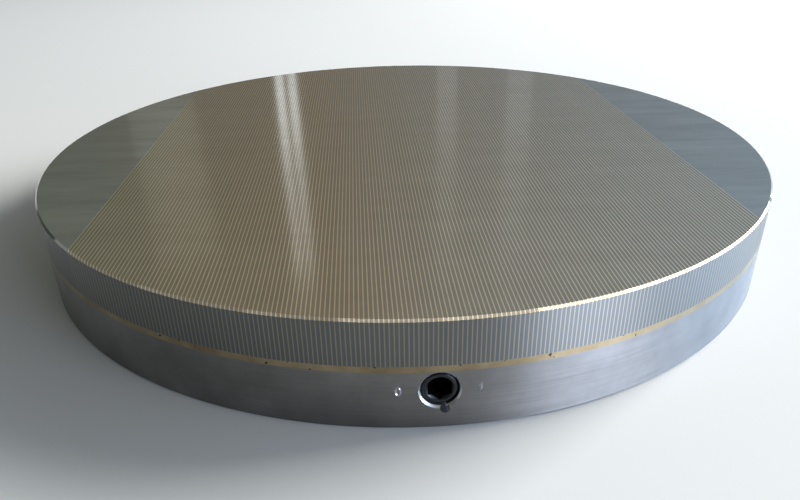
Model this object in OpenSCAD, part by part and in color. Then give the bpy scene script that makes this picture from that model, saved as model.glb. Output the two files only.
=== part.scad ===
// Round permanent magnetic chuck: a steel housing with a laminated pole plate on top,
// and inside it a sliding magnet pack that an eccentric shaft moves between 0 and 1.
// Millimetres, +Z up, origin at the centre of the underside, switching shaft at -Y.

/* [Body] */
// Outside diameter of the chuck
chuck_d = 450; // [440:1:460]
// Height of the steel housing
base_h = 29; // [29:0.5:32]
// Thickness of the brass ring between housing and pole plate
ring_h = 3; // [3:0.5:5]
// Thickness of the laminated pole plate
plate_h = 22; // [18:1:26]
// Width of the housing wall round the pocket
wall_t = 25; // [25:1:28]
// Thickness of the housing floor
floor_t = 10; // [9.5:0.1:10]
// Chamfer round the work face
rim_chamfer = 1; // [0.5:0.1:3]
// Chamfer round the underside
foot_chamfer = 1; // [0.5:0.1:2]

/* [Pole plate] */
// Thickness of one steel lamination
steel_t = 1.4; // [1.2:0.1:1.4]
// Thickness of one brass lamination
brass_t = 0.5; // [0.3:0.1:0.5]
// Number of steel laminations
steel_count = 175; // [151:2:175]

/* [Magnet pack] */
// Distance from one pole of the pack to the next
pole_pitch = 7.6; // [7:0.1:7.6]
// Width of one steel pole of the pack
pole_w = 3.3; // [3:0.1:4]
// Number of steel poles in the pack
pole_count = 43; // [35:2:43]
// Height of the poles and magnets of the pack
pole_h = 12; // [10:0.5:12]
// Radius of the round outline of the pack
pack_r = 190; // [186:1:190]
// Width of one brass strip in the fixed guide grid
guide_gap = 1.9; // [1.5:0.1:2.5]
// Height of the fixed guide grid
guide_h = 6; // [4:0.5:6]

/* [Switching shaft] */
// Height of the shaft axis above the underside
axis_z = 19.7; // [19.4:0.1:19.8]
// Diameter of the shaft bore in the housing
bore_d = 16.5; // [16.4:0.1:16.6]
// Depth of the shaft face below the housing wall
face_recess = 1.2; // [0.8:0.1:1.6]
// Size of the hex key across its flats
hex_af = 10; // [8:1:10]
// Depth of the hex socket
hex_depth = 10; // [7:0.5:10]
// Throw of the eccentric pin, half of the travel of the pack
throw = 1.9; // [1.5:0.1:1.9]
// Diameter of the eccentric pin
crank_d = 8; // [7:0.1:8]
// Side clearance of the eccentric pin in its fork
crank_gap = 0.6; // [0.5:0.1:0.8]
// Diameter of the stop pin
stop_d = 4; // [3.6:0.1:4]

/* [Fastening] */
// Bolt circle of the screws that clamp the pole plate
clamp_pcd = 426; // [425:1:427]
// Number of clamp screws
clamp_count = 12; // [12:12:12]
// Bolt circle of the fixing holes in the underside
fix_pcd = 420; // [418:1:422]
// Number of fixing holes
fix_count = 6; // [3:3:6]
// Depth of the fixing holes
fix_depth = 18; // [14:1:20]
// Diameter of the centring recess in the underside
register_d = 100; // [60:5:120]
// Depth of the centring recess
register_depth = 4; // [3:0.5:5]

/* [Hidden] */
$fn = 96;
eps = 1;                                  // how far a cutter runs past a face

// Housing and pole plate
chuck_r = chuck_d / 2;
pocket_r = chuck_r - wall_t;
plate_z = base_h + ring_h;                // underside of the pole plate
top_z = plate_z + plate_h;                // work face
lam_pitch = steel_t + brass_t;
band_w = steel_count * steel_t + (steel_count + 1) * brass_t;
land_w = 22;                              // flat inside the wall that the bush bears on
land_d = 3;                               // depth of its cutter at the middle

// Fastening: M8 clamp screws, 8 mm dowels, M10 fixing holes drilled 8.5 mm
clamp_turn = 15;
clamp_r = 3.95;
clamp_len = 35;
clamp_hole_r = 4.5;
clamp_head_r = 6.5;
clamp_head_h = 8;
clamp_hex_af = 6;
clamp_seat_z = 9;                         // depth of the counterbore
counterbore_r = 7.25;
tapped_r = 4;
clamp_spare = 2;                          // tapped hole past the end of a screw
tapped_z = clamp_seat_z + clamp_len + clamp_spare;
dowel_turn = 30;
dowel_r = 4;
dowel_fit = 0.02;
dowel_z = 19;
dowel_len = 24;
dowel_spare = 2;                          // blind hole past the end of a dowel
fix_drill_r = 4.25;
fix_lead = 0.8;
register_lead = 0.5;

// Seal ring in the underside of the brass ring
seal_r = pocket_r + 4;
seal_w = 3.2;
seal_h = 2;
seal_play = 0.2;
seal_bevel = 0.4;

// Sliding faces of the magnet pack
sheet_t = 0.5;
pack_plate_t = 3;
pack_z = floor_t + sheet_t;               // underside of the pack
pole_z = pack_z + pack_plate_t;           // underside of its poles and magnets
travel = 2 * throw;
pack_flat_y = 179.5;                      // straight edges that run along the rails
bar_t = 8;                                // width of the cross bars and of the rails
rail_play = 0.1;
rail_h = 8;
rail_end_x = 60;
rail_gap_x = 22;                          // half of the opening for the fork
rail_y = pack_flat_y + rail_play;
rail_screw_y = rail_y + bar_t / 2;
rail_screws = [
    [-52, -rail_screw_y], [-30, -rail_screw_y], [30, -rail_screw_y], [52, -rail_screw_y],
    [-45, rail_screw_y], [45, rail_screw_y]
];
magnet_w = pole_pitch - pole_w;
row_y = pack_flat_y - bar_t;              // where the rows of the pack end
clamp_bar_t = 6;
stack_x = (pole_count - 1) * pole_pitch / 2 + pole_w / 2;
guide_r = 194;
guide_y = 178;

// M4 screws of the rails and of the pack
m4_r = 2;
m4_play = 0.2;
m4_head_r = 3.5;
m4_head_h = 4;
m4_hex_af = 3;
rail_screw_len = 11;
m4_spare = 0.5;                           // tapped hole past the end of a screw
m4_sunk = 0.2;                            // head below the face of its bar
frame_screw_len = 11;
frame_screw_x = [-45, 0, 45];

// Tie rods through the rows
rod_r = 2.5;
rod_play = 0.1;
rod_y = 60;
rod_z = pole_z + pole_h / 2;
nut_af = 8;
nut_h = 4;
rod_end = 2;                              // thread that stands out of the nut

// Shaft, from its face at the front to the eccentric pin at the back
shaft_play = 0.05;
bore_r = bore_d / 2;
bore_lead = 0.9;
head_r = bore_r - shaft_play;
head_lead = 1.2;
face_y = -chuck_r + face_recess;
head_end_y = -pocket_r - 8;
journal_r = 6;
journal_end_y = -pocket_r + 4.5;
crank_end_y = -pocket_r + 16;
hex_lead = 1;                             // depth of its round lead-in
hex_spare = 0.1;                          // lead-in past the corners of the hexagon
hex_cone = 1.5;
hex_tip_r = 0.2;
crank_lead = 0.6;
bush_fit = 0.01;
bush_flange_r = 9.3;
bush_flange_t = 1.5;
bush_play = 0.2;                          // between the head of the shaft and the bush
bush_start_y = head_end_y + bush_play;
washer_t = 1;
washer_y = -pocket_r + bush_flange_t;
washer_r = 9;
clip_y = washer_y + washer_t;
clip_t = 1;
clip_groove_r = 5.6;
clip_r = 8.3;
clip_opening = 50;                        // degrees
ring_seal_r = 0.8;
ring_groove_r = head_r - 2 * ring_seal_r;
ring_groove_w = 2.6;
ring_groove_y = face_y + 10.6;

// Stop pin in the rim of the bore, and the half-turn groove that it runs in
stop_arm = 9.8;                           // from the shaft axis to the pin axis
stop_turn = 78;                           // pin direction, in degrees below the level
stop_play = 0.05;
stop_end_play = 0.2;
stop_groove_r = 7.35;
stop_groove_turn = 10.5;                  // half of the angle that the pin needs
stop_start_y = -chuck_r + 5;
stop_end_y = -chuck_r + 10.6;
stop_groove_end_y = stop_end_y + stop_end_play;

// Fork of the yoke
fork_w = 28;
fork_h = 16;
fork_start_y = -pocket_r + 5.5;
fork_slot_w = crank_d + 2 * crank_gap;
fork_slot_z = 14.5;

// ---------- shapes that repeat ----------

// Round blank with 45 degree chamfers at its foot and its top
module round_blank(r, h, foot, top)
    rotate_extrude()
        polygon([[0, 0], [r - foot, 0], [r, foot], [r, h - top], [r - top, h], [0, h]]);

// Flat ring
module flat_ring(outer_r, inner_r, h)
    difference() {
        cylinder(r = outer_r, h = h);
        translate([0, 0, -eps]) cylinder(r = inner_r, h = h + 2 * eps);
    }

// Children placed evenly on a bolt circle
module on_circle(pcd, count, turn)
    for (k = [0:count - 1])
        rotate([0, 0, turn + k * 360 / count])
            translate([pcd / 2, 0, 0])
                children();

// Children on the shaft axis, with their own +Z pointing into the chuck from y
module on_shaft(y)
    translate([0, y, axis_z])
        rotate([-90, 0, 0])
            children();

// Hexagonal bar with two corners on its own Y axis
module hex_bar(af, h)
    rotate([0, 0, 30])
        cylinder(r = af / sqrt(3), h = h, $fn = 6);

// Socket head screw: the head stands on +Z and the shank hangs below it
module cap_screw(shank_r, len, head_screw_r, head_screw_h, socket_af)
    difference() {
        union() {
            translate([0, 0, -len]) cylinder(r = shank_r, h = len);
            cylinder(r = head_screw_r, h = head_screw_h);
        }
        translate([0, 0, head_screw_h / 2]) hex_bar(socket_af, head_screw_h);
    }

// Round outline with straight front and rear edges, centred on the resting pack
module pack_outline(r, half_y, z, h)
    intersection() {
        translate([-throw, 0, z]) cylinder(r = r, h = h);
        translate([-throw - r, -half_y, z]) cube([2 * r, 2 * half_y, h]);
    }

// ---------- housing ----------

module base_housing() {
    color("silver")
    difference() {
        round_blank(chuck_r, base_h, foot_chamfer, 0);
        translate([0, 0, floor_t]) cylinder(r = pocket_r, h = base_h);
        translate([-land_w / 2, -pocket_r, floor_t]) cube([land_w, land_d, base_h]);
        on_circle(clamp_pcd, clamp_count, clamp_turn) clamp_hole();
        on_circle(clamp_pcd, 2, dowel_turn)
            translate([0, 0, dowel_z]) cylinder(r = dowel_r + dowel_fit, h = base_h);
        on_circle(fix_pcd, fix_count, 0) fixing_hole();
        register_recess();
        shaft_bore();
        for (p = rail_screws)
            translate([p[0], p[1], rail_screw_z() - rail_screw_len - m4_spare])
                cylinder(r = m4_r, h = base_h);
    }
}

function rail_screw_z() = floor_t + rail_h - m4_head_h;

// Clearance hole and counterbore of one clamp screw
module clamp_hole() {
    translate([0, 0, -eps]) cylinder(r = clamp_hole_r, h = base_h + 2 * eps);
    translate([0, 0, -eps]) cylinder(r = counterbore_r, h = clamp_seat_z + eps);
}

// Blind tapped hole in the underside, with a lead-in
module fixing_hole() {
    translate([0, 0, -eps]) cylinder(r = fix_drill_r, h = fix_depth + eps);
    translate([0, 0, -eps])
        cylinder(r1 = fix_drill_r + fix_lead + eps, r2 = fix_drill_r, h = fix_lead + eps);
}

module register_recess() {
    translate([0, 0, -eps]) cylinder(d = register_d, h = register_depth + eps);
    translate([0, 0, -eps])
        cylinder(
            r1 = register_d / 2 + register_lead + eps, r2 = register_d / 2,
            h = register_lead + eps
        );
}

// Bore of the switching shaft with its chamfered mouth and the hole of the stop pin
module shaft_bore() {
    on_shaft(-chuck_r - eps) cylinder(r = bore_r, h = wall_t + 2 * eps);
    on_shaft(-chuck_r - eps)
        cylinder(r1 = bore_r + bore_lead + eps, r2 = bore_r, h = bore_lead + eps);
    on_shaft(-chuck_r - eps)
        rotate([0, 0, stop_turn])
            translate([stop_arm, 0, 0])
                cylinder(r = stop_d / 2 + stop_play, h = stop_end_y + chuck_r + eps);
}

// ---------- brass ring, pole plate ----------

module spacer_ring() {
    color("goldenrod")
    difference() {
        translate([0, 0, base_h]) flat_ring(chuck_r, pocket_r, ring_h);
        on_circle(clamp_pcd, clamp_count, clamp_turn)
            cylinder(r = clamp_hole_r, h = top_z);
        on_circle(clamp_pcd, 2, dowel_turn)
            cylinder(r = dowel_r + dowel_fit, h = top_z);
        translate([0, 0, base_h - eps])
            difference() {
                cylinder(r = seal_r + seal_w / 2 + seal_play, h = seal_h + eps);
                cylinder(r = seal_r - seal_w / 2 - seal_play, h = seal_h + eps);
            }
    }
}

// Tapped and dowel holes in the underside of the pole plate
module plate_holes() {
    on_circle(clamp_pcd, clamp_count, clamp_turn)
        translate([0, 0, plate_z - eps]) cylinder(r = tapped_r, h = tapped_z - plate_z + eps);
    on_circle(clamp_pcd, 2, dowel_turn)
        translate([0, 0, plate_z - eps])
            cylinder(r = dowel_r + dowel_fit, h = dowel_z + dowel_len + dowel_spare - plate_z);
}

// Solid steel segment beside the laminated band, side = -1 or 1
module side_segment(side) {
    segment_w = chuck_r - band_w / 2;
    color("silver")
    difference() {
        intersection() {
            translate([0, 0, plate_z]) round_blank(chuck_r, plate_h, 0, rim_chamfer);
            translate([side > 0 ? band_w / 2 : -chuck_r, -chuck_r, plate_z])
                cube([segment_w, chuck_d, plate_h]);
        }
        plate_holes();
    }
}

// Upright strips of one thickness, cut to the round of the pole plate
module laminations(first_x, strip_t, count)
    difference() {
        intersection() {
            translate([0, 0, plate_z]) round_blank(chuck_r, plate_h, 0, rim_chamfer);
            union()
                for (k = [0:count - 1])
                    translate([first_x + k * lam_pitch, -chuck_r, plate_z])
                        cube([strip_t, chuck_d, plate_h]);
        }
        plate_holes();
    }

module pole_laminations() {
    color("lightslategray") laminations(-band_w / 2 + brass_t, steel_t, steel_count);
}

module brass_laminations() {
    color("gold") laminations(-band_w / 2, brass_t, steel_count + 1);
}

// ---------- fixed guide grid under the pole plate ----------

// Upright strips centred on the poles of the switched-on pack, from one x offset
module guide_strips(offset_x, strip_w, count)
    intersection() {
        translate([0, 0, plate_z - guide_h]) cylinder(r = guide_r, h = guide_h);
        union()
            for (k = [0:count - 1])
                translate([
                    throw + (k - (pole_count - 1) / 2) * pole_pitch + offset_x - strip_w / 2,
                    -guide_y, plate_z - guide_h
                ])
                    cube([strip_w, 2 * guide_y, guide_h]);
    }

module guide_poles() {
    color("gray") guide_strips(0, pole_pitch - guide_gap, pole_count);
}

module guide_spacers() {
    color("darkgoldenrod") guide_strips(pole_pitch / 2, guide_gap, pole_count - 1);
}

// ---------- fasteners and seals of the housing ----------

module clamp_screws() {
    color("dimgray")
    on_circle(clamp_pcd, clamp_count, clamp_turn)
        translate([0, 0, clamp_seat_z])
            rotate([180, 0, 0])
                cap_screw(clamp_r, clamp_len, clamp_head_r, clamp_head_h, clamp_hex_af);
}

module dowel_pins() {
    color("lightgray")
    on_circle(clamp_pcd, 2, dowel_turn)
        translate([0, 0, dowel_z]) cylinder(r = dowel_r, h = dowel_len);
}

module rim_seal() {
    half = seal_w / 2;
    flat = half - seal_bevel;
    color("black")
    rotate_extrude()
        translate([seal_r, base_h])
            polygon([
                [-flat, 0], [flat, 0], [half, seal_bevel], [half, seal_h - seal_bevel],
                [flat, seal_h], [-flat, seal_h], [-half, seal_h - seal_bevel], [-half, seal_bevel]
            ]);
}

// ---------- slideway of the magnet pack ----------

module slide_sheet() {
    color("peru")
    intersection() {
        translate([0, 0, floor_t]) cylinder(r = pack_r, h = sheet_t);
        translate([-pack_r, -guide_y, floor_t]) cube([2 * pack_r, 2 * guide_y, sheet_t]);
    }
}

// One rail along X from x0 to x1, its front face at y
module rail(x0, x1, y)
    translate([x0, y, floor_t]) cube([x1 - x0, bar_t, rail_h]);

module guide_rails() {
    color("slategray")
    difference() {
        union() {
            rail(-rail_end_x, -rail_gap_x, -rail_y - bar_t);
            rail(rail_gap_x, rail_end_x, -rail_y - bar_t);
            rail(-rail_end_x, rail_end_x, rail_y);
        }
        for (p = rail_screws)
            translate([p[0], p[1], 0]) {
                cylinder(r = m4_r + m4_play, h = base_h);
                translate([0, 0, rail_screw_z()]) cylinder(r = m4_head_r + m4_play, h = base_h);
            }
    }
}

module rail_screws() {
    color("dimgray")
    for (p = rail_screws)
        translate([p[0], p[1], rail_screw_z()])
            cap_screw(m4_r - shaft_play, rail_screw_len, m4_head_r, m4_head_h - m4_sunk, m4_hex_af);
}

// ---------- switching shaft ----------

module shaft_bush() {
    color("darkgoldenrod")
    difference() {
        union() {
            on_shaft(bush_start_y)
                cylinder(r = bore_r - bush_fit, h = -pocket_r - bush_start_y);
            on_shaft(-pocket_r) cylinder(r = bush_flange_r, h = bush_flange_t);
        }
        on_shaft(bush_start_y - eps)
            cylinder(r = journal_r + shaft_play, h = washer_y - bush_start_y + 2 * eps);
    }
}

module stop_pin() {
    color("lightgray")
    on_shaft(stop_start_y)
        rotate([0, 0, stop_turn])
            translate([stop_arm, 0, 0])
                cylinder(r = stop_d / 2, h = stop_end_y - stop_start_y);
}

module drive_shaft() {
    color("darkslategray")
    difference() {
        union() {
            on_shaft(face_y)
                rotate_extrude()
                    polygon([
                        [0, 0], [head_r - head_lead, 0], [head_r, head_lead],
                        [head_r, head_end_y - face_y], [0, head_end_y - face_y]
                    ]);
            on_shaft(head_end_y) cylinder(r = journal_r, h = journal_end_y - head_end_y);
            on_shaft(journal_end_y) translate([-throw, 0, 0]) crank_pin();
        }
        hex_socket();
        stop_groove();
        on_shaft(ring_groove_y) flat_ring(head_r + eps, ring_groove_r, ring_groove_w);
        on_shaft(clip_y) flat_ring(journal_r + eps, clip_groove_r, clip_t);
    }
}

// Eccentric pin with a chamfered end
module crank_pin() {
    len = crank_end_y - journal_end_y;
    rotate_extrude()
        polygon([
            [0, 0], [crank_d / 2, 0], [crank_d / 2, len - crank_lead],
            [crank_d / 2 - crank_lead, len], [0, len]
        ]);
}

// Hex socket with a round lead-in and a drilled cone at its end
module hex_socket() {
    lead_r = hex_af / sqrt(3) + hex_spare;
    on_shaft(face_y - eps) hex_bar(hex_af, hex_depth + eps);
    on_shaft(face_y - eps)
        cylinder(r1 = lead_r + eps, r2 = lead_r - hex_lead, h = hex_lead + eps);
    on_shaft(face_y + hex_depth) cylinder(r1 = hex_af / 2 - hex_tip_r, r2 = hex_tip_r, h = hex_cone);
}

// Groove in the rim of the head, open at the front, that lets the shaft turn half round
module stop_groove()
    on_shaft(face_y - eps)
        rotate([0, 0, stop_turn + stop_groove_turn - (180 + 2 * stop_groove_turn)])
            rotate_extrude(angle = 180 + 2 * stop_groove_turn)
                translate([stop_groove_r, 0])
                    square([bore_r - stop_groove_r + eps, stop_groove_end_y - face_y + eps]);

module shaft_seal() {
    color("black")
    on_shaft(ring_groove_y + ring_groove_w / 2)
        rotate_extrude()
            translate([head_r - ring_seal_r, 0]) circle(r = ring_seal_r, $fn = 32);
}

module thrust_washer() {
    color("khaki")
    on_shaft(washer_y) flat_ring(washer_r, journal_r + shaft_play, washer_t);
}

// Open retaining ring in its groove, its opening at the top
module retaining_ring() {
    color("dimgray")
    on_shaft(clip_y)
        rotate([0, 0, -90 + clip_opening / 2])
            rotate_extrude(angle = 360 - clip_opening)
                translate([clip_groove_r, 0]) square([clip_r - clip_groove_r, clip_t]);
}

// ---------- sliding magnet pack, drawn in its resting place at 0 ----------

module pack_base_plate() {
    color("darkgray")
    difference() {
        pack_outline(pack_r, pack_flat_y, pack_z, pack_plate_t);
        frame_screw_holes(m4_r);
    }
}

// Upright strips of the pack, from one x offset, drilled for the tie rods
module pack_strips(offset_x, strip_w, count)
    difference() {
        intersection() {
            translate([-throw, 0, pole_z]) cylinder(r = pack_r, h = pole_h);
            union()
                for (k = [0:count - 1])
                    translate([
                        -throw + (k - (pole_count - 1) / 2) * pole_pitch + offset_x - strip_w / 2,
                        -row_y, pole_z
                    ])
                        cube([strip_w, 2 * row_y, pole_h]);
        }
        tie_rod_bores();
    }

module tie_rod_bores()
    for (y = [-rod_y, rod_y])
        translate([-pack_r, y, rod_z])
            rotate([0, 90, 0]) cylinder(r = rod_r + rod_play, h = 2 * pack_r);

module pack_poles() {
    color("gray") pack_strips(0, pole_w, pole_count);
}

module pack_magnets() {
    color("lightsteelblue") pack_strips(pole_pitch / 2, magnet_w, pole_count - 1);
}

// Holes of the screws that hold both cross bars on the base plate
module frame_screw_holes(r)
    for (x = frame_screw_x, y = [-row_y - bar_t / 2, row_y + bar_t / 2])
        translate([x - throw, y, 0]) cylinder(r = r, h = top_z);

// Cross bar along the front or rear edge of the pack, with sunk screw heads
module cross_bar(y)
    difference() {
        translate([-throw - rail_end_x, y, pole_z]) cube([2 * rail_end_x, bar_t, pole_h]);
        frame_screw_holes(m4_r + m4_play);
        translate([0, 0, frame_screw_z()]) frame_screw_holes(m4_head_r + m4_play);
    }

function frame_screw_z() = pole_z + pole_h - m4_head_h;

// Front cross bar with the fork that the eccentric pin moves
module pack_yoke() {
    slot_y = fork_start_y - eps;
    color("steelblue")
    difference() {
        union() {
            cross_bar(-pack_flat_y);
            translate([-throw - fork_w / 2, fork_start_y, pole_z])
                cube([fork_w, -pack_flat_y - fork_start_y, fork_h]);
        }
        translate([-throw - fork_slot_w / 2, slot_y, fork_slot_z])
            cube([fork_slot_w, -pack_flat_y - slot_y, top_z]);
    }
}

module pack_rear_bar() {
    color("steelblue") cross_bar(row_y);
}

// Flat bars that close the stack at its left and right ends
module pack_side_clamps() {
    color("lightgray")
    difference() {
        intersection() {
            translate([-throw, 0, pole_z]) cylinder(r = pack_r, h = pole_h);
            union()
                for (x = [-stack_x - clamp_bar_t, stack_x])
                    translate([x - throw, -row_y, pole_z])
                        cube([clamp_bar_t, 2 * row_y, pole_h]);
        }
        tie_rod_bores();
    }
}

module frame_screws() {
    color("dimgray")
    for (x = frame_screw_x, y = [-row_y - bar_t / 2, row_y + bar_t / 2])
        translate([x - throw, y, frame_screw_z()])
            cap_screw(m4_r - shaft_play, frame_screw_len, m4_head_r, m4_head_h - m4_sunk, m4_hex_af);
}

module tie_rods() {
    half = stack_x + clamp_bar_t + nut_h + rod_end;
    color("goldenrod")
    for (y = [-rod_y, rod_y])
        translate([-throw - half, y, rod_z])
            rotate([0, 90, 0]) cylinder(r = rod_r, h = 2 * half);
}

module tie_rod_nuts() {
    nut_x = stack_x + clamp_bar_t;
    color("goldenrod")
    for (x = [-nut_x - nut_h, nut_x], y = [-rod_y, rod_y])
        translate([x - throw, y, rod_z])
            rotate([0, 90, 0])
                difference() {
                    hex_bar(nut_af, nut_h);
                    translate([0, 0, -eps])
                        cylinder(r = rod_r + shaft_play, h = nut_h + 2 * eps);
                }
}

base_housing();
spacer_ring();
side_segment(-1);  // side_segment_left
side_segment(1);  // side_segment_right
pole_laminations();
brass_laminations();
guide_poles();
guide_spacers();
clamp_screws();
dowel_pins();
rim_seal();
slide_sheet();
guide_rails();
rail_screws();
shaft_bush();
stop_pin();
drive_shaft();
shaft_seal();
thrust_washer();
retaining_ring();
pack_base_plate();
pack_poles();
pack_magnets();
pack_yoke();
pack_rear_bar();
pack_side_clamps();
frame_screws();
tie_rods();
tie_rod_nuts();
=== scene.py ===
"""A round permanent magnetic chuck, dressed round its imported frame."""

import math

import bmesh
import bpy
import numpy as np
from mathutils import Matrix, Vector


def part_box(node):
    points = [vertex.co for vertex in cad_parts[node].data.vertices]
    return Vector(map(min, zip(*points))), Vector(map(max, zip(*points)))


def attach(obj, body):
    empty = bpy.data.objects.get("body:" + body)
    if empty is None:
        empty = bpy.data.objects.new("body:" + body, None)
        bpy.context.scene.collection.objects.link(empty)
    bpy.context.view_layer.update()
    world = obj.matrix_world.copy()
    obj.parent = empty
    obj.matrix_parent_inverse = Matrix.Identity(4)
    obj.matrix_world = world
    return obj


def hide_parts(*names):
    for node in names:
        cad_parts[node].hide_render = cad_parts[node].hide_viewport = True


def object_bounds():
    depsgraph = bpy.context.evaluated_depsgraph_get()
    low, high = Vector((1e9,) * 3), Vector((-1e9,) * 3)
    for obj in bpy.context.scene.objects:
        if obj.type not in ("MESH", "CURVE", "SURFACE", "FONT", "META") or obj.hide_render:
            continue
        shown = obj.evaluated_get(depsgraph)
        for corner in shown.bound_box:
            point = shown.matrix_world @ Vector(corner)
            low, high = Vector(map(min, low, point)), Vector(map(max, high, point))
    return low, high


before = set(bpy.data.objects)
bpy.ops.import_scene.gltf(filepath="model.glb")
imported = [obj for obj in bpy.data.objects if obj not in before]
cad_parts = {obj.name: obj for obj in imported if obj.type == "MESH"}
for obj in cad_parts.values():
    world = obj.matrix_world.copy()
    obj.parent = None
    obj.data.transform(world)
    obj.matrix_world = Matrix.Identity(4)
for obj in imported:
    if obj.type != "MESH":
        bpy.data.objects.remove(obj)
cad_low, cad_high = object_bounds()
scene = bpy.context.scene
mm = 0.001


# ---------------------------------------------------------------- camera
# The chuck is looked down on from just left of its key socket, from about one
# diameter away, so its rear rim is small and its front wall is large.
eye = Vector((-0.0270, -0.4407, 0.1960))
heading, tilt, roll = (math.radians(degrees) for degrees in (-3.14, 27.3, -1.18))
lens_mm, sensor_mm = 30.41, 36.0

camera_data = bpy.data.cameras.new("camera")
camera_data.lens = lens_mm
camera_data.sensor_width = sensor_mm
camera = bpy.data.objects.new("camera", camera_data)
scene.collection.objects.link(camera)
turn = Matrix.Rotation(heading, 4, "Z") @ Matrix.Rotation(math.pi / 2 - tilt, 4, "X")
camera.matrix_world = Matrix.Translation(eye) @ turn @ Matrix.Rotation(roll, 4, "Z")
scene.camera = camera
scene.view_settings.view_transform = "Standard"


# ---------------------------------------------------------------- studio floor
# A pale seamless sheet of matt paper under the chuck. It takes the chuck's soft
# shadow, and the side wall shows that shadow as its dark left part.
floor_size = 14.0
floor_drop = 0.2 * mm
paper_white = "#e9eaea"


def linear(colour):
    """An sRGB hex colour as linear RGBA: each channel goes through the sRGB curve."""
    channels = [int(colour[k:k + 2], 16) / 255 for k in (1, 3, 5)]
    return (*(c / 12.92 if c <= 0.04045 else ((c + 0.055) / 1.055) ** 2.4 for c in channels), 1.0)


def put(tree, kind, sockets=None, **settings):
    """Adds one node, gives it its settings, and fills the sockets that are named: with a value,
    with a link from a socket, or with a link from the first output that a node has in use."""
    made = tree.nodes.new(kind)
    for name, value in settings.items():
        setattr(made, name, value)
    for name, value in (sockets or {}).items():
        if isinstance(value, bpy.types.Node):
            value = next(output for output in value.outputs if output.enabled)
        if isinstance(value, bpy.types.NodeSocket):
            tree.links.new(value, made.inputs[name])
        else:
            made.inputs[name].default_value = value
    return made


def new_material(name):
    """An empty material, and its node tree."""
    material = bpy.data.materials.new(name)
    material.use_nodes = True
    material.node_tree.nodes.clear()
    return material, material.node_tree


matt_paper, tree = new_material("matt_paper")
shader = put(tree, "ShaderNodeBsdfDiffuse", {"Color": linear(paper_white)})
put(tree, "ShaderNodeOutputMaterial", {"Surface": shader})

half = floor_size / 2
floor_mesh = bpy.data.meshes.new("floor")
floor_mesh.from_pydata(
    [(x, y, -floor_drop) for x, y in ((-half, -half), (half, -half), (half, half), (-half, half))],
    [], [(0, 1, 2, 3)],
)
floor_mesh.materials.append(matt_paper)
floor = bpy.data.objects.new("floor", floor_mesh)
scene.collection.objects.link(floor)


# ---------------------------------------------------------------- studio light
# A square window and two long low sills of daylight stand on the right. An arch of tubes over
# the front shows as a light line in the plate's chamfer, and slim gaps and a blind far behind
# lie in the ground face as streaks.
daylight_away, tubes_away, gaps_away = 5.0, 4.0, 3.0


def from_chuck(azimuth, elevation, distance):
    """A place in a direction in degrees, with azimuth counted from +Y to +X."""
    turned_to, raised = math.radians(azimuth), math.radians(elevation)
    return distance * Vector((
        math.cos(raised) * math.sin(turned_to), math.cos(raised) * math.cos(turned_to), math.sin(raised)
    ))


def add_lamp(name, colour, level, centre, along, width, height):
    """A rectangular lamp that faces the chuck from its centre, with its width along a given way.
    Its level is its radiance, so its power is level * pi * area."""
    data = bpy.data.lights.new(name, "AREA")
    data.shape = "RECTANGLE"
    data.size, data.size_y = width, height
    data.energy = level * math.pi * width * height
    data.color = linear(colour)[:3]
    lamp = bpy.data.objects.new(name, data)
    back = centre.normalized()
    side = (along - along.dot(back) * back).normalized()
    facing = Matrix((side, back.cross(side), back)).transposed()
    lamp.matrix_world = Matrix.Translation(centre) @ facing.to_4x4()
    scene.collection.objects.link(lamp)
    return lamp


def soft_box(name, colour, level, azimuth, elevation, distance, width, height):
    """A lamp with level upper and lower edges."""
    centre = from_chuck(azimuth, elevation, distance)
    return add_lamp(name, colour, level, centre, Vector((0, 0, 1)).cross(centre), width, height)


def tube(name, colour, level, start, end, width):
    """A long lamp between two places."""
    add_lamp(name, colour, level, (start + end) / 2, end - start, (end - start).length, width)


# The window lights the chuck and throws its shadow to the left. It is kept out of reflections,
# where it would clip the ground face to white.
window = soft_box("window", "#f9f9f6", 24.5, 70, 23, daylight_away, 2.6, 2.6)
window.visible_glossy = False
soft_box("sill", "#d6e4fc", 100.0, 132, 3, daylight_away, 2.9, 0.4)
soft_box("sill", "#bad9ff", 60.0, 87, 3, daylight_away, 4.6, 0.4)

# The arch bends at these azimuths and elevations, from the left over the front to the right,
# and has one tube between each two bends.
tube_bends = (
    (296, 11), (268, 31), (238, 45), (208, 53), (170, 54), (137, 48), (112, 38), (84, 21), (58, 3),
)
tube_levels = (0.4, 0.6, 0.9, 1.6, 2.2, 5.0, 7.0, 7.0)
tube_w = 0.2
bends = [from_chuck(azimuth, elevation, tubes_away) for azimuth, elevation in tube_bends]
for start, end, level in zip(bends, bends[1:], tube_levels):
    tube("tube", "#fbfbf6", level, start, end, tube_w)

# A gap has an azimuth, a level and a width. Its upper part is dimmer, so that its streak fades
# towards the front of the face.
gaps = ((-8.2, 1.0, 0.04), (-7.0, 0.9, 0.04), (8.0, 0.12, 0.10), (15.0, 0.1, 0.12))
upper_share = 0.45
for azimuth, level, width in gaps:
    soft_box("gap", "#e6f2ff", level, azimuth, 15, gaps_away, width, 0.55)
    soft_box("gap", "#e6f2ff", upper_share * level, azimuth, 26, gaps_away, width, 0.6)

# The blind is three lamps on one centre, each wider than the last, so that its sides are soft.
for level, width in ((0.09, 0.14), (0.08, 0.22), (0.07, 0.30)):
    soft_box("blind", "#f0f6ec", level, -19.3, 20, gaps_away, width, 0.9)

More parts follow.
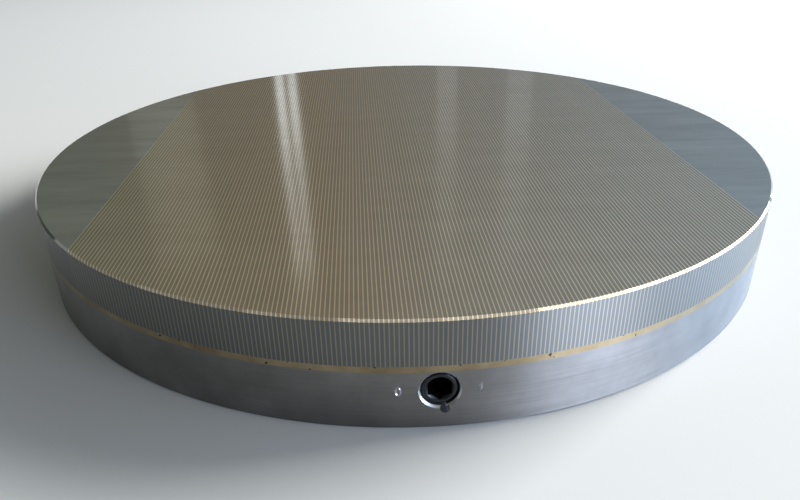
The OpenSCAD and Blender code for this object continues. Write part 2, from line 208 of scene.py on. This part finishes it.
# The room's walls glow a little, by where a direction points along X, Y and Z:
# strength = (rear wall + room_level) * below the ceiling + the skylight straight above.
# The tint runs from green grey on the left, over sand, to blue grey on the right.
room_level = 0.5
tint_stops = ((0.26, "#747a70"), (0.46, "#8a8579"), (0.78, "#a2b0bc"))
world = bpy.data.worlds.new("room")
world.use_nodes = True
tree = world.node_tree
tree.nodes.clear()
direction = put(tree, "ShaderNodeTexCoord").outputs["Generated"]
along = put(tree, "ShaderNodeSeparateXYZ", {"Vector": direction}).outputs
aside = put(tree, "ShaderNodeMath", {0: along["X"]}, operation="ABSOLUTE")

# Each part of the room is a value carried from one range over to another, and held there.
room = {
    part: put(tree, "ShaderNodeMapRange", {
        "Value": value, "From Min": start, "From Max": end, "To Min": low, "To Max": high,
    })
    for part, value, start, end, low, high in (
        ("from the left", along["X"], -1, 1, 0, 1),
        ("behind", along["Y"], 0, 0.3, 0, 1),
        ("between the sides", aside, 0.62, 0.8, 1, 0),
        ("up the wall", along["Z"], 0.2, 0.56, 0.45, 1.15),
        ("below the ceiling", along["Z"], 0.6, 0.8, 1, 0.08),
        ("skylight", along["Z"], 0.93, 0.98, 0, 1),
    )
}
tint = put(tree, "ShaderNodeValToRGB", {"Fac": room["from the left"]})
tint.color_ramp.elements.new(0.5)
for element, (place, colour) in zip(tint.color_ramp.elements, tint_stops):
    element.position = place
    element.color = linear(colour)
rear = put(tree, "ShaderNodeMath", {
    0: room["behind"], 1: room["between the sides"],
}, operation="MULTIPLY")
walls = put(tree, "ShaderNodeMath", {
    0: rear, 1: room["up the wall"], 2: room_level,
}, operation="MULTIPLY_ADD")
strength = put(tree, "ShaderNodeMath", {
    0: walls, 1: room["below the ceiling"], 2: room["skylight"],
}, operation="MULTIPLY_ADD")
air = put(tree, "ShaderNodeBackground", {"Color": tint, "Strength": strength})
put(tree, "ShaderNodeOutputWorld", {"Surface": air})
scene.world = world


# ---------------------------------------------------------------- housing
# Turned from one steel forging: a flat cup with a chamfered foot and a true round
# wall. The shaft bore, the stop pin hole, the screw holes and the recess below are
# machined into it, and 0 and 1 are struck into the wall beside the bore.
around = 2 * math.pi
chuck_r = cad_high.x
base_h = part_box("base_housing")[1].z
pocket_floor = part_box("slide_sheet")[0].z
shaft_low, shaft_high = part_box("drive_shaft")
pin_low, pin_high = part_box("stop_pin")
axis_z = (shaft_low.z + shaft_high.z) / 2
pocket_r = 200 * mm
foot_chamfer = 1 * mm
register_r, register_depth, register_lead = 50 * mm, 4 * mm, 0.5 * mm
clamp_circle, clamp_count, clamp_first = 426 * mm, 12, 15
clamp_r, clamp_head_r, clamp_head_h = 4.5 * mm, 7.25 * mm, 9 * mm
dowel_circle, dowel_count, dowel_first = 426 * mm, 2, 30
dowel_r, dowel_bottom = 4.02 * mm, 19 * mm
fixing_circle, fixing_count = 420 * mm, 6
fixing_r, fixing_depth, fixing_lead = 4.25 * mm, 18 * mm, 0.8 * mm
rail_screw_r, rail_screw_bottom, rail_y = 2 * mm, 2.5 * mm, 183.6 * mm
bore_r, bore_lead = 8.25 * mm, 0.9 * mm
land_w, land_d = 22 * mm, 3 * mm
pin_gap = 0.05 * mm
mark_h, zero_w, mark_x = 3.8 * mm, 2.2 * mm, 17 * mm
flag_w, flag_up = 1.1 * mm, 0.22
stroke_w, stroke_d = 0.8 * mm, 0.5 * mm

# Cutters reach past a face by this much. Round shapes have these many sides.
over = 1 * mm
wall_turns, bore_turns, hole_turns, small_turns, screw_turns, zero_turns = 720, 128, 64, 48, 32, 40


def add_mesh(name, points, *faces):
    """A new object from an array of points and arrays of faces, with doubles merged and all
    faces turned outwards."""
    mesh = bpy.data.meshes.new(name)
    mesh.from_pydata(points.tolist(), [], [face for group in faces for face in group.tolist()])
    made = bmesh.new()
    made.from_mesh(mesh)
    bmesh.ops.remove_doubles(made, verts=made.verts, dist=1e-7)
    bmesh.ops.recalc_face_normals(made, faces=made.faces)
    made.to_mesh(mesh)
    made.free()
    piece = bpy.data.objects.new(name, mesh)
    scene.collection.objects.link(piece)
    return piece


def grid_faces(rows, columns, wrap_columns):
    """Quads of a grid whose rows close round, numbered row by row."""
    i = np.arange(rows)[:, None]
    j = np.arange(columns if wrap_columns else columns - 1)
    next_i, next_j = (i + 1) % rows, (j + 1) % columns
    return np.stack([
        i * columns + j, next_i * columns + j, next_i * columns + next_j, i * columns + next_j
    ], axis=-1).reshape(-1, 4)


def turned(name, profile, turns, ring=False, place=Matrix()):
    """A profile of (radius, height) points carried round Z:
    point (i, j) is (r_j cos a_i, r_j sin a_i, z_j), with a_i evenly spaced round the circle.
    A ring has a closed profile, and any other starts and ends on the axis."""
    r, z = np.array(profile, float).T
    angle = np.arange(turns) * around / turns
    points = np.stack([
        np.outer(np.cos(angle), r), np.outer(np.sin(angle), r), np.tile(z, (turns, 1))
    ], axis=-1).reshape(-1, 3)
    piece = add_mesh(name, points, grid_faces(turns, len(r), ring))
    piece.data.transform(place)
    return piece


def block(name, low, high):
    """A box between two corners, as a cutter. Its eight corners are numbered with x fastest
    and z slowest."""
    z, y, x = np.meshgrid(*zip(low[::-1], high[::-1]), indexing="ij")
    corners = np.stack([x, y, z], axis=-1).reshape(-1, 3)
    sides = np.array([
        (0, 1, 3, 2), (4, 6, 7, 5), (0, 4, 5, 1), (2, 3, 7, 6), (0, 2, 6, 4), (1, 5, 7, 3),
    ])
    return add_mesh(name, corners, sides)


def drilled(name, radius, low, high, turns, place=Matrix()):
    """A plain round drill between two heights, as a cutter."""
    return turned(name, [(0, low), (radius, low), (radius, high), (0, high)], turns, place=place)


def joined(name, pieces):
    """Several solids that don't touch, as one object."""
    made = bmesh.new()
    for piece in pieces:
        made.from_mesh(piece.data)
        bpy.data.objects.remove(piece)
    mesh = bpy.data.meshes.new(name)
    made.to_mesh(mesh)
    made.free()
    piece = bpy.data.objects.new(name, mesh)
    scene.collection.objects.link(piece)
    return piece


def cut(piece, tool, operation="DIFFERENCE", machined=None):
    """Takes the tool out of the piece with an exact boolean, and deletes the tool. The new
    faces take the machined finish, where one is given."""
    step = piece.modifiers.new("cut", "BOOLEAN")
    if machined:
        tool.data.materials.append(machined)
        step.material_mode = "TRANSFER"
    step.operation = operation
    step.solver = "EXACT"
    step.object = tool
    graph = bpy.context.evaluated_depsgraph_get()
    mesh = bpy.data.meshes.new_from_object(piece.evaluated_get(graph))
    piece.modifiers.clear()
    piece.data = mesh
    bpy.data.objects.remove(tool)


def finish(piece, body, slot, *replaced):
    """Smooth shading between sharp edges, and the piece's place in the frame."""
    piece.data.shade_smooth()
    piece.data.set_sharp_from_angle(angle=math.radians(30))
    if replaced:
        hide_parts(*replaced)
    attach(piece, body)


def on_circle(diameter, count, first=0):
    """Places spaced evenly round a bolt circle, from the first angle in degrees."""
    for k in range(count):
        yield Matrix.Rotation(math.radians(first + 360 * k / count), 4, "Z") @ \
            Matrix.Translation((diameter / 2, 0, 0))


def struck(name, path, width, depth, closed):
    """A V-shaped groove along a path on the round wall, as a cutter. The path's points are
    (along the wall, up). Point (i, j) lies on the path's own normal at offset (-w, w, 0) and
    at height (out, out, -depth) over the wall, and the wall's arc is wrapped round Z."""
    out = 0.2 * mm
    flank = width / 2 * (1 + out / depth)
    ahead = np.roll(path, -1, axis=0) - path
    behind = path - np.roll(path, 1, axis=0)
    if not closed:
        ahead[-1], behind[0] = behind[-1], ahead[0]
    ahead /= np.linalg.norm(ahead, axis=1)[:, None]
    behind /= np.linalg.norm(behind, axis=1)[:, None]
    middle = ahead + behind
    normal = np.stack([-middle[:, 1], middle[:, 0]], axis=-1)
    normal /= (middle * ahead).sum(axis=1)[:, None]
    offset = np.array([-flank, flank, 0.0])
    along = path[:, :1] + normal[:, :1] * offset
    up = path[:, 1:] + normal[:, 1:] * offset
    radius = chuck_r + np.array([out, out, -depth])
    turn = along / chuck_r
    points = np.stack([radius * np.sin(turn), -radius * np.cos(turn), up], axis=-1).reshape(-1, 3)
    count = len(path)
    faces = grid_faces(count, 3, True)
    if closed:
        return add_mesh(name, points, faces)
    last = 3 * (count - 1)
    return add_mesh(name, points, faces[:last], np.array([(0, 1, 2), (last, last + 2, last + 1)]))


housing = turned("housing_body", [
    (0, register_depth), (register_r, register_depth), (register_r, register_lead),
    (register_r + register_lead, 0), (chuck_r - foot_chamfer, 0), (chuck_r, foot_chamfer),
    (chuck_r, base_h), (pocket_r, base_h), (pocket_r, pocket_floor), (0, pocket_floor),
], wall_turns)

# Counterbored holes of the clamp screws, fixing holes with a lead-in, dowel and rail screw holes.
clamp_hole = [
    (0, -over), (clamp_head_r, -over), (clamp_head_r, clamp_head_h), (clamp_r, clamp_head_h),
    (clamp_r, base_h + over), (0, base_h + over),
]
fixing_hole = [
    (0, -over), (fixing_r + fixing_lead + over, -over), (fixing_r, fixing_lead),
    (fixing_r, fixing_depth), (0, fixing_depth),
]
drills = [
    turned("drill", clamp_hole, hole_turns, place=place)
    for place in on_circle(clamp_circle, clamp_count, clamp_first)
] + [
    turned("drill", fixing_hole, hole_turns, place=place)
    for place in on_circle(fixing_circle, fixing_count)
] + [
    drilled("drill", dowel_r, dowel_bottom, base_h + over, hole_turns, place)
    for place in on_circle(dowel_circle, dowel_count, dowel_first)
]
rail_screw_places = [(x * mm, -rail_y) for x in (-52, -30, 30, 52)]
rail_screw_places += [(x * mm, rail_y) for x in (-45, 45)]
for x, y in rail_screw_places:
    place = Matrix.Translation((x, y, 0))
    drills.append(drilled(
        "drill", rail_screw_r, rail_screw_bottom, pocket_floor + over, screw_turns, place
    ))

# The marks stand level with the shaft, 0 on its left and 1 on its right. The 0 is an ellipse,
# and the 1 is a stem with a flag on its left.
angle = np.arange(zero_turns) * around / zero_turns
zero = np.stack([
    -mark_x + zero_w / 2 * np.cos(angle), axis_z + mark_h / 2 * np.sin(angle)
], axis=-1)
one = np.array([
    (mark_x - flag_w, axis_z + flag_up * mark_h),
    (mark_x, axis_z + mark_h / 2),
    (mark_x, axis_z - mark_h / 2),
])
drills.append(struck("mark", zero, stroke_w, stroke_d, True))
drills.append(struck("mark", one, stroke_w, stroke_d, False))

# The shaft bore with its chamfered mouth, the flat land behind it, and the stop pin's hole.
along_shaft = Matrix.Translation((0, 0, axis_z)) @ Matrix.Rotation(-math.pi / 2, 4, "X")
drills.append(turned("drill", [
    (0, -chuck_r - over), (bore_r + bore_lead + over, -chuck_r - over), (bore_r, -chuck_r + bore_lead),
    (bore_r, -pocket_r + over), (0, -pocket_r + over),
], bore_turns, place=along_shaft))
pin_x, pin_z = (pin_low.x + pin_high.x) / 2, (pin_low.z + pin_high.z) / 2
pin_r = (pin_high.x - pin_low.x) / 2 + pin_gap
along_pin = Matrix.Translation((pin_x, 0, pin_z)) @ Matrix.Rotation(-math.pi / 2, 4, "X")
pin_drill = drilled("drill", pin_r, -chuck_r - over, pin_high.y, small_turns, along_pin)
land = block("land", (-land_w / 2, -pocket_r, pocket_floor), (land_w / 2, land_d - pocket_r, 2 * base_h))

# Noise stays mostly between these values. In a Mix node, sockets 2 and 3 are its two values,
# and sockets 6 and 7 are its two colours.
noise_range = {"From Min": 0.3, "From Max": 0.7}

# A surface with tool lines draws a highlight out across them by this much.
drawn_out = 0.8


def grain(tree, coordinates, size, stretch=(1, 1, 1), detail=3.0):
    """A pattern of grains of a given size in metres, stretched where an axis is scaled down."""
    place = put(tree, "ShaderNodeMapping", {"Vector": coordinates, "Scale": stretch})
    return put(tree, "ShaderNodeTexNoise", {
        "Vector": place, "Scale": 1 / size, "Detail": detail, "Roughness": 0.55,
    })


def toned(tree, pattern, dark, light, pattern_range=noise_range):
    """The colour that goes from dark to light, two sRGB hex colours, where a pattern rises."""
    share = put(tree, "ShaderNodeMapRange", {"Value": pattern, **pattern_range})
    return put(tree, "ShaderNodeMix", {
        "Factor": share, 6: linear(dark), 7: linear(light),
    }, data_type="RGBA")


def turned_steel():
    """Turned and then linished steel. The tool's fine lines run round the wall, so a highlight
    spreads upright over it: the tangent runs upright, and the longer roughness follows it.
    Real lines are about 0.1 mm apart. These are 0.8 mm, so that they show. Hand marks and
    dried coolant leave clouds about 30 mm wide, a little darker and duller."""
    material, tree = new_material("turned_steel")
    place = put(tree, "ShaderNodeTexCoord").outputs["Object"]
    lines = grain(tree, place, 0.8 * mm, (0.02, 0.02, 1))
    clouds = grain(tree, place, 30 * mm, detail=5.0)
    worked = put(tree, "ShaderNodeMath", {0: lines, 1: 0.5, 2: clouds}, operation="MULTIPLY_ADD")
    cloudy = put(tree, "ShaderNodeMapRange", {
        "Value": clouds, **noise_range, "To Min": 0.46, "To Max": 0.42,
    })
    lined = put(tree, "ShaderNodeMapRange", {
        "Value": lines, **noise_range, "To Min": -0.04, "To Max": 0.04,
    })
    shader = put(tree, "ShaderNodeBsdfPrincipled", {
        "Base Color": toned(tree, worked, "#757473", "#8d8c8b", {"From Min": 0.5, "From Max": 1.0}),
        "Metallic": 1.0, "Roughness": put(tree, "ShaderNodeMath", {0: cloudy, 1: lined}),
        "Anisotropic": drawn_out, "Tangent": put(tree, "ShaderNodeCombineXYZ", {"Z": 1.0}),
    })
    put(tree, "ShaderNodeOutputMaterial", {"Surface": shader})
    return material


def bored_steel():
    """Drilled, bored and struck surfaces. The tool leaves them smoother than the wall, with
    grey clouds about 2 mm wide from dried cutting oil, so their edges catch the light."""
    material, tree = new_material("bored_steel")
    place = put(tree, "ShaderNodeTexCoord").outputs["Object"]
    clouds = grain(tree, place, 2 * mm)
    shader = put(tree, "ShaderNodeBsdfPrincipled", {
        "Base Color": toned(tree, clouds, "#bfc1c3", "#cfd1d3"), "Metallic": 1.0,
        "Roughness": put(tree, "ShaderNodeMapRange", {
            "Value": clouds, **noise_range, "To Min": 0.38, "To Max": 0.32,
        }),
    })
    put(tree, "ShaderNodeOutputMaterial", {"Surface": shader})
    return material


housing.data.materials.append(turned_steel())
bored = bored_steel()
for tool in (joined("drills", drills), pin_drill, land):
    cut(housing, tool, machined=bored)
finish(housing, "housing", "housing_steel", "base_housing")


# ---------------------------------------------------------------- slideway
# The magnet pack slides on a sheet of filled plastic that is glued to the housing
# floor. Rails of milled steel guide it, and sunk M4 screws hold them down.
def dress(material, *nodes):
    """Gives CAD nodes their material."""
    for node in nodes:
        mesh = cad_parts[node].data
        mesh.materials.clear()
        mesh.materials.append(material)


def worked_metal(name, dark, light, size, stretch, smooth, rough):
    """A bare metal whose tone and roughness follow one pattern, as tool marks and handling leave
    it. Its grains have the given size, and are long where the stretch scales an axis down."""
    material, tree = new_material(name)
    place = put(tree, "ShaderNodeTexCoord").outputs["Object"]
    marks = grain(tree, place, size, stretch, detail=4.0)
    shader = put(tree, "ShaderNodeBsdfPrincipled", {
        "Base Color": toned(tree, marks, dark, light), "Metallic": 1.0,
        "Roughness": put(tree, "ShaderNodeMapRange", {
            "Value": marks, **noise_range, "To Min": rough, "To Max": smooth,
        }),
    })
    put(tree, "ShaderNodeOutputMaterial", {"Surface": shader})
    return material


def filled_slideway_plastic():
    """Bronze-filled PTFE sheet, scraped flat: dull brown with bronze grains. Real grains are
    0.05 mm wide, and they are drawn 0.6 mm wide, so that they show."""
    material, tree = new_material("filled_slideway_plastic")
    place = put(tree, "ShaderNodeTexCoord").outputs["Object"]
    grains = grain(tree, place, 0.6 * mm, detail=1.0)
    clouds = grain(tree, place, 25 * mm, (0.3, 1, 1))
    shader = put(tree, "ShaderNodeBsdfPrincipled", {
        "Base Color": toned(tree, grains, "#6b4c34", "#8d6a45", {"From Min": 0.5, "From Max": 0.62}),
        "Roughness": put(tree, "ShaderNodeMapRange", {
            "Value": clouds, **noise_range, "To Min": 0.42, "To Max": 0.56,
        }),
    })
    put(tree, "ShaderNodeOutputMaterial", {"Surface": shader})
    return material


# Milled flat bar and plate: cutter marks about 1 mm apart run along X. Screws with an oiled
# black oxide finish are nearly black, and worn a little greyer in clouds about 4 mm wide.
milled_steel = worked_metal("milled_steel", "#888b8e", "#a0a3a5", 1 * mm, (0.03, 1, 1), 0.30, 0.42)
black_oxide = worked_metal("black_oxide_steel", "#2a2c2e", "#3c3e40", 4 * mm, (1, 1, 1), 0.38, 0.46)
dress(filled_slideway_plastic(), "slide_sheet")
dress(milled_steel, "guide_rails")
dress(black_oxide, "rail_screws")


# ---------------------------------------------------------------- switching shaft
# A flanged bronze bush and the stop pin are pressed into the bore. The shaft with its
# seal ring goes in from the front, and a thrust washer and a clip hold it behind.
def nitrile_rubber():
    """Moulded nitrile rubber, black, with a thin grey bloom in clouds about 3 mm wide."""
    material, tree = new_material("nitrile_rubber")
    place = put(tree, "ShaderNodeTexCoord").outputs["Object"]
    bloom = grain(tree, place, 3 * mm, detail=4.0)
    shader = put(tree, "ShaderNodeBsdfPrincipled", {
        "Base Color": toned(tree, bloom, "#191a1a", "#2b2c2c"),
        "Roughness": put(tree, "ShaderNodeMapRange", {
            "Value": bloom, **noise_range, "To Min": 0.5, "To Max": 0.62,
        }),
    })
    put(tree, "ShaderNodeOutputMaterial", {"Surface": shader})
    return material


# Ground pin steel is dull from oil. Bronze is turned, so its lines run round the shaft's axis.
pin_steel = worked_metal("ground_pin_steel", "#6c6e70", "#7a7c7e", 2 * mm, (1, 1, 1), 0.34, 0.42)
turned_bronze = worked_metal("turned_bronze", "#a07a4c", "#b68d5a", 0.6 * mm, (0.1, 1, 0.1), 0.28, 0.40)
rubber = nitrile_rubber()
dress(pin_steel, "stop_pin")
dress(turned_bronze, "shaft_bush", "thrust_washer")
dress(black_oxide, "drive_shaft", "retaining_ring")
dress(rubber, "shaft_seal")


# ---------------------------------------------------------------- magnet pack
# Upright steel poles and magnet blocks stand in turn on a milled base plate. Two brass
# rods tie the rows between aluminium bars, and a bar at the front and one at the rear,
# the front one with the fork, are screwed down beside them.

# Bright-drawn strip has fine lines along Y, and milled aluminium has coarser ones. The magnets
# are nickel plated, faintly yellow, with soft spots about 2 mm wide. Drawn brass rod and strip
# have darkened in clouds.
drawn_steel = worked_metal(
    "bright_drawn_steel", "#929597", "#a8aaac", 0.8 * mm, (1, 0.02, 1), 0.24, 0.34
)
nickel_plate = worked_metal("nickel_plate", "#a5a196", "#b9b5aa", 2 * mm, (1, 1, 1), 0.20, 0.32)
milled_aluminium = worked_metal(
    "milled_aluminium", "#c6c8ca", "#d9dbdc", 1 * mm, (1, 0.03, 1), 0.26, 0.38
)
drawn_brass = worked_metal("drawn_brass", "#b2904f", "#cbab68", 5 * mm, (1, 0.4, 1), 0.26, 0.40)
dress(milled_steel, "pack_base_plate", "pack_yoke", "pack_rear_bar")
dress(drawn_steel, "pack_poles")
dress(nickel_plate, "pack_magnets")
dress(milled_aluminium, "pack_side_clamps")
dress(black_oxide, "frame_screws")
dress(drawn_brass, "tie_rods", "tie_rod_nuts")


# ---------------------------------------------------------------- fixed guide grid
# Steel poles with brass strips between them, soldered under the pole plate. They lead
# the field straight up when the pack stands at 1.
dress(drawn_steel, "guide_poles")
dress(drawn_brass, "guide_spacers")


# ---------------------------------------------------------------- seal and brass ring
# A flat ring of brass between housing and pole plate keeps the field out of the
# housing wall. It is turned flush with both, and a groove below holds a rubber seal.
dress(rubber, "rim_seal")
ring_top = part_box("spacer_ring")[1].z
groove_in, groove_out = 202.2 * mm, 205.8 * mm
groove_top = base_h + 2 * mm
ring = turned("brass_ring", [
    (pocket_r, base_h), (groove_in, base_h), (groove_in, groove_top), (groove_out, groove_top),
    (groove_out, base_h), (chuck_r, base_h), (chuck_r, ring_top), (pocket_r, ring_top),
], wall_turns, ring=True)
ring_drills = [
    drilled("drill", clamp_r, base_h - over, ring_top + over, small_turns, place)
    for place in on_circle(clamp_circle, clamp_count, clamp_first)
] + [
    drilled("drill", dowel_r, base_h - over, ring_top + over, small_turns, place)
    for place in on_circle(dowel_circle, dowel_count, dowel_first)
]
cut(ring, joined("drills", ring_drills))


def turned_brass():
    """Turned brass sheet that has dulled a little. It has brown clouds about 12 mm wide, and a
    few dark nicks about 1 mm wide where the edge of the plate above was deburred."""
    material, tree = new_material("turned_brass")
    place = put(tree, "ShaderNodeTexCoord").outputs["Object"]
    clouds = grain(tree, place, 12 * mm, detail=4.0)
    nicks = put(tree, "ShaderNodeMapRange", {
        "Value": grain(tree, place, 3 * mm, detail=1.0), "From Min": 0.70, "From Max": 0.74,
    })
    cloudy = put(tree, "ShaderNodeMapRange", {
        "Value": clouds, **noise_range, "To Min": 0.44, "To Max": 0.36,
    })
    shader = put(tree, "ShaderNodeBsdfPrincipled", {
        "Base Color": put(tree, "ShaderNodeMix", {
            "Factor": nicks, 6: toned(tree, clouds, "#89795e", "#a29377"), 7: linear("#4a3f30"),
        }, data_type="RGBA"),
        "Roughness": put(tree, "ShaderNodeMath", {
            0: nicks, 1: 0.2, 2: cloudy,
        }, operation="MULTIPLY_ADD"),
        "Metallic": 1.0, "Anisotropic": drawn_out,
        "Tangent": put(tree, "ShaderNodeCombineXYZ", {"Z": 1.0}),
    })
    put(tree, "ShaderNodeOutputMaterial", {"Surface": shader})
    return material


ring.data.materials.clear()
ring.data.materials.append(turned_brass())
finish(ring, "housing", "ring_brass", "spacer_ring")


# ---------------------------------------------------------------- pole plate, side segments
# Two solid steel segments close the laminated band on the left and the right. The
# plate is clamped, turned to the housing's diameter, chamfered and surface ground.
top_z = cad_high.z
rim_chamfer = 1 * mm
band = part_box("brass_laminations")[1].x
reach = chuck_r + over
tapped_r, tapped_top, dowel_top = 4 * mm, 46 * mm, 45 * mm
ground_rough, walled_rough, chamfer_rough = 0.12, 0.42, 0.10


def plate_shader(tree, place, tone, shaded_wall_tone, smears, ground):
    """The plate's surface. Its work face is surface ground: the wheel's lines run along X, so a
    highlight spreads along Y. Its wall is turned, as on the housing, so there a highlight
    spreads upright. One tangent does for both, because each face keeps only its own part of
    it. The chamfer has a finer cut than both. Roughness goes from the walled one to the
    chamfer's and on to the ground one, by how far the face looks up. The colour goes the same
    way, from the wall tone to the face's tone, which the chamfer shares. The wall tone is a
    darker copy of the face's tone, and is painted shade on the upright wall."""
    normal = put(tree, "ShaderNodeTexCoord").outputs["Normal"]
    facing = put(tree, "ShaderNodeSeparateXYZ", {"Vector": normal}).outputs["Z"]
    up_from_shaded_wall = put(tree, "ShaderNodeMapRange", {"Value": facing, "From Min": 0.1, "From Max": 0.6})
    lying = put(tree, "ShaderNodeMapRange", {"Value": facing, "From Min": 0.8, "From Max": 0.95})
    smeared = put(tree, "ShaderNodeMapRange", {
        "Value": smears, **noise_range, "To Min": ground + 0.015, "To Max": ground - 0.01,
    })
    lined = put(tree, "ShaderNodeMapRange", {
        "Value": grain(tree, place, 0.5 * mm, (0.01, 1, 1)), **noise_range,
        "To Min": -0.008, "To Max": 0.008,
    })
    flat = put(tree, "ShaderNodeMath", {0: smeared, 1: lined})
    edge = put(tree, "ShaderNodeMix", {"Factor": up_from_shaded_wall, 2: walled_rough, 3: chamfer_rough})
    # The colour is painted shade on the upright wall: there it takes a darker copy of the face's tone.
    shader = put(tree, "ShaderNodeBsdfPrincipled", {
        "Base Color": put(tree, "ShaderNodeMix", {
            "Factor": up_from_shaded_wall, 6: linear(shaded_wall_tone), 7: tone,
        }, data_type="RGBA"),
        "Roughness": put(tree, "ShaderNodeMix", {"Factor": lying, 2: edge, 3: flat}),
        "Metallic": 1.0, "Anisotropic": drawn_out,
        "Tangent": put(tree, "ShaderNodeCombineXYZ", {"Y": 0.2, "Z": 1.0}),
    })
    put(tree, "ShaderNodeOutputMaterial", {"Surface": shader})


def wiped(tree, place):
    """Soft smears along X, about 12 mm by 60 mm, that wiping leaves on the whole plate."""
    return grain(tree, place, 12 * mm, (0.2, 1, 1), detail=4.0)


def ground_steel():
    """Solid plate steel. Its smears are a little darker and duller than the rest. Real grinding
    lines are 0.05 mm apart, drawn here 0.5 mm apart."""
    material, tree = new_material("ground_segment_steel")
    place = put(tree, "ShaderNodeTexCoord").outputs["Object"]
    smears = wiped(tree, place)
    tone = toned(tree, smears, "#999c9c", "#afb2b2")
    # The third colour, #6d706f, is the wall's: a darker copy of the segment steel, painted shade on the
    # turned wall.
    plate_shader(tree, place, tone, "#6d706f", smears, ground_rough)
    return material


segment_steel = ground_steel()
for side_name, side in (("left", -1), ("right", 1)):
    segment = turned("segment_" + side_name, [
        (0, ring_top), (chuck_r, ring_top), (chuck_r, top_z - rim_chamfer),
        (chuck_r - rim_chamfer, top_z), (0, top_z),
    ], wall_turns)
    x_low, x_high = sorted((side * band, side * reach))
    saw = block("saw", (x_low, -reach, ring_top - over), (x_high, reach, top_z + over))
    cut(segment, saw, "INTERSECT")
    plate_drills = [
        drilled("drill", tapped_r, ring_top - over, tapped_top, small_turns, place)
        for place in on_circle(clamp_circle, clamp_count, clamp_first)
        if side * place.translation.x > band
    ] + [
        drilled("drill", dowel_r, ring_top - over, dowel_top, small_turns, place)
        for place in on_circle(dowel_circle, dowel_count, dowel_first)
        if side * place.translation.x > band
    ]
    cut(segment, joined("drills", plate_drills))
    segment.data.materials.clear()
    segment.data.materials.append(segment_steel)
    finish(segment, "housing", "plate_steel", "side_segment_" + side_name)


# ---------------------------------------------------------------- pole plate, laminations
# 175 steel strips, 1.4 mm thick, with 176 brass strips of 0.5 mm between them, soldered
# into one block. The steel carries the field up, and the brass keeps the poles apart.
steel_t, brass_t = 1.4 * mm, 0.5 * mm
lam_pitch = steel_t + brass_t
brass_rough = 0.16


def ground_strips(name, light, dark, shaded_wall_tone, ground):
    """Ground strips of the laminated plate. Their tone steps a little along X: a random value of
    the whole number round(x / pitch), which changes between two steel strips, in the middle
    of a brass one. Smears and lines are as on the segments, because wheel and cloth run over
    all of them."""
    material, tree = new_material(name)
    place = put(tree, "ShaderNodeTexCoord").outputs["Object"]
    x = put(tree, "ShaderNodeSeparateXYZ", {"Vector": place}).outputs["X"]
    pitches = put(tree, "ShaderNodeMath", {0: x, 1: lam_pitch}, operation="DIVIDE")
    number = put(tree, "ShaderNodeMath", {0: pitches}, operation="ROUND")
    chance = put(tree, "ShaderNodeTexWhiteNoise", {"W": number}, noise_dimensions="1D")
    smears = wiped(tree, place)
    smeared = put(tree, "ShaderNodeMapRange", {
        "Value": smears, **noise_range, "To Min": 0.0, "To Max": 0.6,
    })
    share = put(tree, "ShaderNodeMath", {0: chance, 1: 0.4, 2: smeared}, operation="MULTIPLY_ADD")
    tone = put(tree, "ShaderNodeMix", {
        "Factor": share, 6: linear(dark), 7: linear(light),
    }, data_type="RGBA")
    plate_shader(tree, place, tone, shaded_wall_tone, smears, ground)
    return material


# The wheel smears a trace of brass over the steel, so the steel strips look warmer on the work
# # face than on the turned wall. The softer brass stays rougher, and is drawn paler than bare brass.
# # The third colours are the wall tones: darker copies of the strips, painted shade on the turned wall.
strip_steel = ground_strips("ground_strip_steel", "#a79f91", "#9e9688", "#6a6d6e", ground_rough)
strip_brass = ground_strips("ground_strip_brass", "#e5dac5", "#ddd0bb", "#938c7f", brass_rough)
dress(strip_steel, "pole_laminations")
dress(strip_brass, "brass_laminations")


# ---------------------------------------------------------------- dowels and clamp screws
# Two ground dowels locate the plate on the housing, and twelve M8 socket head screws
# in counterbores pull plate and ring down from below.
dress(pin_steel, "dowel_pins")
dress(black_oxide, "clamp_screws")
